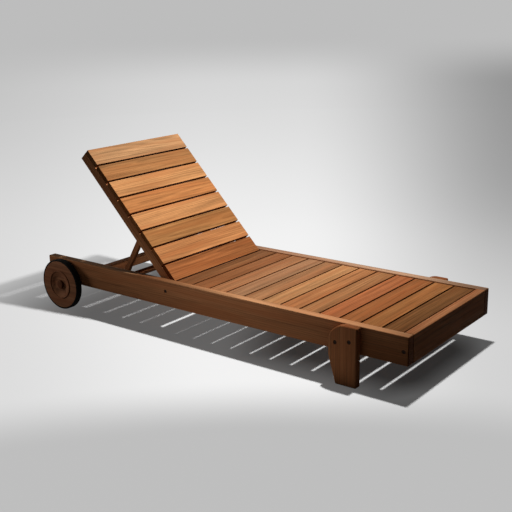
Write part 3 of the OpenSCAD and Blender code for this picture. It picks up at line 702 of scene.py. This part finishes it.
arc = [i * math.pi / 6 for i in range(7)]
rim_edge = [(WOOD_R - RIM_EDGE + RIM_EDGE * math.sin(a / 2), RIM_Z - RIM_EDGE + RIM_EDGE * math.cos(a / 2))
            for a in arc]
bead = [(DISH_R + BEAD_W / 2 + BEAD_W / 2 * math.cos(a), RIM_Z + (BEAD_Z - RIM_Z) * math.sin(a)) for a in arc]
bowl = [(DISH_R - DISH_SLOPE * i / BOWL_STEPS,
         FLOOR_Z + (RIM_Z - FLOOR_Z) * (0.5 + 0.5 * math.cos(math.pi * i / BOWL_STEPS)))
        for i in range(1, BOWL_STEPS + 1)]
wheel_outline = ([(BUSH_R, BACK_Z), (WOOD_R - RIM_EDGE, BACK_Z), (WOOD_R, BACK_Z + RIM_EDGE)] + rim_edge[::-1]
                 + [(DISH_R + BEAD_W + 2 * GROOVE, RIM_Z), (DISH_R + BEAD_W + GROOVE, RIM_Z - GROOVE)]
                 + bead + bowl + [(BUSH_R, FLOOR_Z)])
TYRE_ROUND = (TYRE_R - WOOD_R) / 2
crown = [(TYRE_R - TYRE_ROUND + TYRE_ROUND * math.sin(a), TYRE_ROUND * math.cos(a)) for a in arc]
tyre_outline = ([(WOOD_R, BACK_Z), (WOOD_R, RIM_Z)]
                + [(r, RIM_Z - TYRE_ROUND + z) for r, z in crown[:4]]
                + [(r, BACK_Z + TYRE_ROUND + z) for r, z in crown[3:]])
cap_outline = [(0, CAP_Z - CAP_WALL), (CAP_R - CAP_WALL, CAP_Z - CAP_WALL), (CAP_R - CAP_WALL, FLOOR_Z),
               (CAP_R, FLOOR_Z), (CAP_R, CAP_Z - CAP_EDGE), (CAP_R - 0.3 * CAP_EDGE, CAP_Z - 0.45 * CAP_EDGE),
               (CAP_R - CAP_EDGE, CAP_Z - 0.1 * CAP_EDGE), (CAP_R * 0.5, CAP_Z), (0, CAP_Z)]
print("wheel of", round(TYRE_R * 2000), "mm with a bowl of", round(DISH_R * 2000), "mm")

# %% The discs and the caps
DISC_BROWN, CAP_BROWN = (0.34, 0.148, 0.075), (0.19, 0.075, 0.037)

for side, name in ((-1, "right"), (1, "left")):
    body = "wheel_" + name
    place = outward(AXLE.x, AXLE.z, side * rail_out)
    disc = lathe("disc_" + name, wheel_outline, 128)
    settle(disc, place)
    finish(disc, wood(disc.name, AXLE, LENGTHWISE, DISC_BROWN, 110 + side, pith=(0, 0.05, -0.16),
                      ring=0.008, figure=0.9), body, "frame_wood", "wheel_" + name)
    cap = lathe("cap_" + name, cap_outline, 64)
    settle(cap, place)
    finish(cap, wood(cap.name, AXLE, LENGTHWISE, CAP_BROWN, 120 + side), body, "frame_wood",
           "hub_cap_" + name)
    print(disc.name, len(disc.data.polygons), "faces")

# %% [markdown]
# ## Rubber, steel, brass and plastic
#
# The small parts need quieter materials. Rubber is nearly black and matt, with a fine bump. The bolts are
# blackened steel, the screws bright zinc, the bushes brass and the spacers plastic. Each takes its speckle from
# the scuff group, with its own strength in colour, roughness and bump.

# %% The recipe for the small parts
def plain(name, colour, roughness, metallic=0.0, speckle=400.0, vary=0.25, bump=0.3, grit=0.0002, specular=0.5):
    """A material of one colour with speckle in its colour, roughness and surface."""
    material = bpy.data.materials.new(name)
    material.use_nodes = True
    tree = material.node_tree
    shader = tree.nodes["Principled BSDF"]
    marks = add(tree, "Group", node_tree=scuffs)
    tree.links.new(add(tree, "TexCoord").outputs["Object"], marks.inputs["Vector"])
    marks.inputs["Scale"].default_value = speckle
    summed = math_node(tree, "ADD", marks.outputs["Speckle"], marks.outputs["Cloud"])
    fac = spread(tree, math_node(tree, "MULTIPLY", summed, 0.5), 0.3, 0.7)
    tone = mix_colours(tree, fac, shade(colour, 1 - vary), shade(colour, 1 + vary))
    tree.links.new(tone, shader.inputs["Base Color"])
    tree.links.new(spread(tree, marks.outputs["Cloud"], 0.3, 0.7, roughness - 0.08, roughness + 0.08),
                   shader.inputs["Roughness"])
    shader.inputs["Metallic"].default_value = metallic
    shader.inputs["Specular IOR Level"].default_value = specular
    height = add(tree, "Bump", {"Strength": bump, "Distance": grit, "Height": marks.outputs["Speckle"]})
    tree.links.new(height.outputs[0], shader.inputs["Normal"])
    return material


# %% The finishes of the small parts, and the tyres
RUBBER = plain("tyre_rubber", (0.007, 0.006, 0.005), 0.8, speckle=900, bump=0.5, grit=0.0003, specular=0.05)
DARK_STEEL = plain("blackened_steel", (0.060, 0.034, 0.022), 0.7, metallic=0.2, speckle=600, specular=0.1)
ZINC = plain("zinc_steel", (0.56, 0.55, 0.52), 0.36, metallic=1.0, speckle=800, vary=0.12)
BRASS = plain("brass", (0.62, 0.43, 0.16), 0.36, metallic=1.0, speckle=700, vary=0.12)
PLASTIC = plain("spacer_plastic", (0.50, 0.48, 0.43), 0.5, speckle=500, vary=0.06, bump=0.1)
DOWEL = wood("dowels", (0, 0, 0), CROSSWISE, (0.62, 0.42, 0.24), 5.0, ring=0.003, wear=0.1)

for side, name in ((-1, "right"), (1, "left")):
    tyre = lathe("tyre_ring_" + name, tyre_outline, 128)
    settle(tyre, outward(AXLE.x, AXLE.z, side * rail_out))
    finish(tyre, RUBBER, "wheel_" + name, "tyre", "tyre_" + name)

# %% [markdown]
# ## Bolts
#
# The dark dots on the rails and the legs are the heads of cap screws, sunk in their counterbores. A head is turned
# with a small round at its rim, and its hexagon socket is cut with a six-sided prism. One screw is made per length
# and copied to its places.

# %% Cap screws with hexagon sockets
def cap_screw(name, length, shank, head=HEAD_R, head_h=0.006, edge=0.001, socket_r=0.0034, socket_h=0.0035):
    """A cap screw along -Z, with the top of its head at zero."""
    screw = lathe(name, [(0, 0), (head - edge, 0), (head - 0.3 * edge, -0.3 * edge), (head, -edge), (head, -head_h),
                         (shank, -head_h), (shank, -length + edge), (shank - edge, -length), (0, -length)], 40)
    key_h = 0.008
    bpy.ops.mesh.primitive_cylinder_add(vertices=6, radius=socket_r, depth=key_h,
                                        location=(0, 0, key_h / 2 - socket_h))
    socket = bpy.context.object
    settle(socket)
    edit(socket)
    pick(socket, lambda ends: all(p.z < 0 for p in ends), "polygons")
    bpy.ops.mesh.bevel(offset=0.0004, segments=1, affect="EDGES")
    bpy.ops.object.mode_set(mode="OBJECT")
    cut(screw, socket)
    return screw


def join(pieces, name):
    """Joins pieces into one object."""
    only(pieces[0])
    for piece in pieces:
        piece.select_set(True)
    bpy.ops.object.join()
    bpy.context.object.name = name
    return bpy.context.object


def both_faces(x, z, face):
    """One spot of the right side and its mirror image on the left side."""
    return [outward(x, z, -face), outward(x, z, face)]


# %% The bolts in their places
leg_face = abs(bolts_low.y)
board_face = abs(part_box("foot_board_bolts")[0].y)
hinge_face = abs(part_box("hinge_bolts")[0].y)
# Node, length, radius of the shank, and places.
BOLTS = (
    ("leg_bolts", 0.071, 0.004, [place for x, z in leg_bolt_spots for place in both_faces(x, z, leg_face)]),
    ("foot_board_bolts", 0.078, 0.004, both_faces(board_bolt.x, board_bolt.z, board_face)),
    ("hinge_bolts", 0.0933, 0.005, both_faces(HINGE.x, HINGE.z, hinge_face)))
for node, length, shank, places in BOLTS:
    screw = cap_screw(node + "_model", length, shank)
    heads = [copy_of(screw, f"{node}_{i}", place) for i, place in enumerate(places)]
    bpy.data.objects.remove(screw)
    finish(join(heads, "set_of_" + node), DARK_STEEL, "frame", "dark_steel", node)
    print(node, len(places), "places")

# %% [markdown]
# ## What stays as it was packed
#
# The ledgers, the notched racks, the screws, nuts, bushes and spacers already have their true shape in the packed
# model. They only need a finish, so their nodes keep their meshes and get a material in place of the plain one.

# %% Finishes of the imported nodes
KEPT = {DARK_STEEL: ["hinge_nuts", "prop_bolts", "axle_bolts"],
        ZINC: ["foot_board_cross_nuts", "seat_slat_screws", "rail_screws", "axle_beam_screws", "back_slat_screws",
               "prop_screws"],
        BRASS: ["leg_inserts", "hub_bush_left", "hub_bush_right"],
        PLASTIC: ["hinge_spacers", "axle_spacers"],
        DOWEL: ["foot_board_dowels"]}
for number, node in enumerate(("seat_ledger_left", "seat_ledger_right", "rack_left", "rack_right")):
    middle = middle_and_size(node)[0]
    KEPT[wood(node, middle, LENGTHWISE, RAIL_BROWN, 130 + 2.3 * number, pith=(0, 0.04, -0.05))] = [node]
for material, nodes in KEPT.items():
    for node in nodes:
        mesh = frame["nodes"][node].data
        if not mesh.materials:
            mesh.materials.append(None)
        for index in range(len(mesh.materials)):
            mesh.materials[index] = material
print("finished", sum(len(nodes) for nodes in KEPT.values()), "packed nodes")

# %% [markdown]
# ## The floor
#
# The lounger stands on a pale floor without a horizon, which is palest around the lounger and fades to the right
# and into the distance. A curved backdrop could do this, but it would hide the lounger from behind. Here the floor
# is one wide plane, and its fading paleness is painted light: a pattern on the floor, measured from a fixed point in
# front of it.
# The pattern is there for the camera and for reflections, and Light Path tells them from light that matt surfaces
# pass on.

# %% The floor's plane
bpy.ops.object.select_all(action="DESELECT")
bpy.ops.mesh.primitive_plane_add(size=3000, location=(0, 0, 0))
floor = bpy.context.object
floor.name = "studio_floor"
settle(floor)
floor_material = bpy.data.materials.new("studio_floor")
floor_material.use_nodes = True
floor.data.materials.append(floor_material)
tree = floor_material.node_tree
tree.nodes.remove(tree.nodes["Principled BSDF"])


def seen_directly(tree):
    """One for what the camera sees, by itself or in gloss or glass, and zero for light sent on by matt surfaces."""
    rays = add(tree, "LightPath").outputs
    mirrored = math_node(tree, "MAXIMUM", rays["Is Glossy Ray"], rays["Is Transmission Ray"])
    return math_node(tree, "MAXIMUM", rays["Is Camera Ray"], mirrored)


# %% [markdown]
# Nearness, one over the distance from the fixed point, fades the floor into the distance. The bearing from the
# same point fades it to the right, and a little to the left. Very near the point and very far from it, the floor
# has the even tone of the world behind it, so that no horizon shows.

# %% The floor's paleness
FAN_POINT = (2.4, -3.1, 0.0)
FAR_TONE = 0.509

position = add(tree, "TexCoord").outputs["Object"]
from_point = add(tree, "VectorMath", {0: position, 1: FAN_POINT}, operation="SUBTRACT").outputs[0]
reach = add(tree, "VectorMath", {0: from_point}, operation="LENGTH").outputs["Value"]
aside = add(tree, "VectorMath", {0: from_point, 1: tuple(level)}, operation="DOT_PRODUCT").outputs["Value"]
bearing = math_node(tree, "DIVIDE", aside, reach)
nearness = math_node(tree, "DIVIDE", 1.0, reach)

# Each spread goes from one value to another, and the tone or share that it gives goes from the third to the fourth.
middle_tone = spread(tree, nearness, 0.03, 0.20, 0.66, 0.88)
right_loss = math_node(tree, "MULTIPLY", spread(tree, bearing, 0.045, 0.305),
                       spread(tree, nearness, 0.12, 0.27, 0.57, 0.27))
left_share = spread(tree, bearing, -0.34, -0.03, 0.80, 1.0)
side_share = math_node(tree, "MULTIPLY", left_share, math_node(tree, "SUBTRACT", 1.0, right_loss))
patterned = math_node(tree, "MULTIPLY", middle_tone, side_share)
inside = math_node(tree, "MULTIPLY", spread(tree, nearness, 0.026, 0.062), spread(tree, reach, 2.78, 3.24))
pale = mix_values(tree, inside, FAR_TONE, patterned)

# %% [markdown]
# A lamp lights less and less of a floor with the distance, by the cube of the cosine of its slant. A glow makes up
# for what the lamp no longer gives, and takes over far away. Near the lounger the glow is also what its shadow
# shows, so it is weakest below the seat and rises a little towards the open floor beside and beyond the lounger,
# where the photograph's shadow is lighter. The lamp's part is divided by what the lamp gives at each place.

# %% Lamp and glow on the floor
KEY_PLACE = Vector((0.735, 0.17, 2.30))
LAMP_GAIN = 2.0  # how much stronger than needed the lamp is, which keeps the floor's own colour below white
NEAR_GLOW = 0.14  # the most that the glow gives close to the lounger

below_key = (KEY_PLACE.x, KEY_PLACE.y, 0.0)
from_key = add(tree, "VectorMath", {0: position, 1: below_key}, operation="DISTANCE").outputs["Value"]
slope = math_node(tree, "DIVIDE", from_key, KEY_PLACE.z)
spread_out = math_node(tree, "MULTIPLY_ADD", slope, slope, 1.0)
lamp_share = math_node(tree, "POWER", spread_out, -1.5)

floor_place = add(tree, "SeparateXYZ", {0: position}).outputs
along, away_from_middle = floor_place["X"], math_node(tree, "ABSOLUTE", floor_place["Y"])
open_floor = math_node(tree, "ADD", spread(tree, along, 0.90, 1.12, 0.0, 0.13),
                       spread(tree, away_from_middle, 0.15, 0.50, 0.015, NEAR_GLOW))
open_floor = math_node(tree, "MINIMUM", open_floor, NEAR_GLOW)
near_glow = math_node(tree, "MAXIMUM", open_floor, spread(tree, from_key, 0.5, 0.85, 0.03, 0.13))
glow_share = math_node(tree, "ADD", near_glow, spread(tree, from_key, 1.5, 2.8, 0.0, 0.85))
glow_share = math_node(tree, "MAXIMUM", glow_share, spread(tree, from_key, 4.0, 9.0))
lamp_part = math_node(tree, "SUBTRACT", 1.0, glow_share)
matt_part = math_node(tree, "DIVIDE", math_node(tree, "DIVIDE", lamp_part, lamp_share), LAMP_GAIN)

# %% [markdown]
# The light that the floor sends back to the wood is weaker than such a pale floor's would be. It fades towards
# both ends, because in the photograph the sides of the wood stay dark there.

# %% The floor's shader
seen = seen_directly(tree)
sent_back = math_node(tree, "MULTIPLY", spread(tree, along, -0.75, 0.1, 0.03, 0.40),
                      spread(tree, along, 0.2, 1.05, 1.0, 0.04))
albedo = mix_values(tree, seen, sent_back, math_node(tree, "MULTIPLY", pale, matt_part))
lit = add(tree, "BsdfDiffuse", {"Color": albedo})
lift = math_node(tree, "MULTIPLY", math_node(tree, "MULTIPLY", pale, glow_share), seen)
glow = add(tree, "Emission", {"Color": (1, 1, 1, 1), "Strength": lift})
both = add(tree, "AddShader", {0: lit.outputs[0], 1: glow.outputs[0]})
tree.links.new(both.outputs[0], tree.nodes["Material Output"].inputs["Surface"])
print("floor material with", len(tree.nodes), "nodes")

# %% [markdown]
# ## The light
#
# One small lamp above the foot end throws the clear shadow and the stripes of light below the seat. On the
# lounger it is screened off towards the foot end, as a studio lamp is with a flap, while the floor gets all of it.
# Light linking does this: two lamps hang at one place, and each lights its own things.
# A wide soft spot from beyond the head end fills the wheel's bowl. It spares the floor, where it would throw a
# second shadow, and the far rail, whose inner face is dark in the photograph.
# The world adds a trace of light from all sides.

# %% The lamps
def lamp(name, kind, place, target, energy, **settings):
    """A lamp that points at a target."""
    bpy.ops.object.light_add(type=kind, location=place)
    light = bpy.context.object
    light.name = name
    light.rotation_euler = (Vector(target) - Vector(place)).to_track_quat("-Z", "Y").to_euler()
    light.data.energy = energy
    for setting, value in settings.items():
        setattr(light.data, setting, value)
    return light


def light_only(light, name, things, state):
    """Makes a lamp light only some things (INCLUDE), or all but them (EXCLUDE)."""
    group = bpy.data.collections.new(name)
    for thing in things:
        group.objects.link(thing)
    for member in group.collection_objects:
        member.light_linking.link_state = state
    light.light_linking.receiver_collection = group


# A point lamp of this power lights a white floor right below it to the tone of white.
white_power = 4 * math.pi ** 2 * KEY_PLACE.z ** 2
on_wood = lamp("key_on_wood", "SPOT", KEY_PLACE, (-0.51, 0.0, 0.2), energy=235, spot_size=math.radians(94.6),
               spot_blend=0.72, shadow_soft_size=0.05)
on_floor = lamp("key_on_floor", "POINT", KEY_PLACE, below_key, energy=LAMP_GAIN * white_power,
                shadow_soft_size=0.055)
fill = lamp("fill", "SPOT", (-2.74, -1.31, 0.86), (-0.70, -0.36, 0.15), energy=62, spot_size=math.radians(34),
            spot_blend=1.0, shadow_soft_size=0.35)
far_rail = [bpy.data.objects["rail_left"]] + [frame["nodes"][node] for node in ("rack_left", "seat_ledger_left")]
light_only(on_floor, "the_floor", [floor], "INCLUDE")
light_only(on_wood, "not_the_floor", [floor], "EXCLUDE")
light_only(fill, "not_the_floor_nor_the_far_rail", [floor] + far_rail, "EXCLUDE")

# %% The world
WORLD_LIGHT = 0.02
world = bpy.data.worlds.new("studio")
bpy.context.scene.world = world
world.use_nodes = True
tree = world.node_tree
strength = mix_values(tree, seen_directly(tree), WORLD_LIGHT, FAR_TONE)
tree.links.new(strength, tree.nodes["Background"].inputs["Strength"])
tree.nodes["Background"].inputs["Color"].default_value = (1, 1, 1, 1)
bpy.context.scene.view_settings.view_transform = "Standard"

# %% [markdown]
# ## The end

# %% Import json
import json
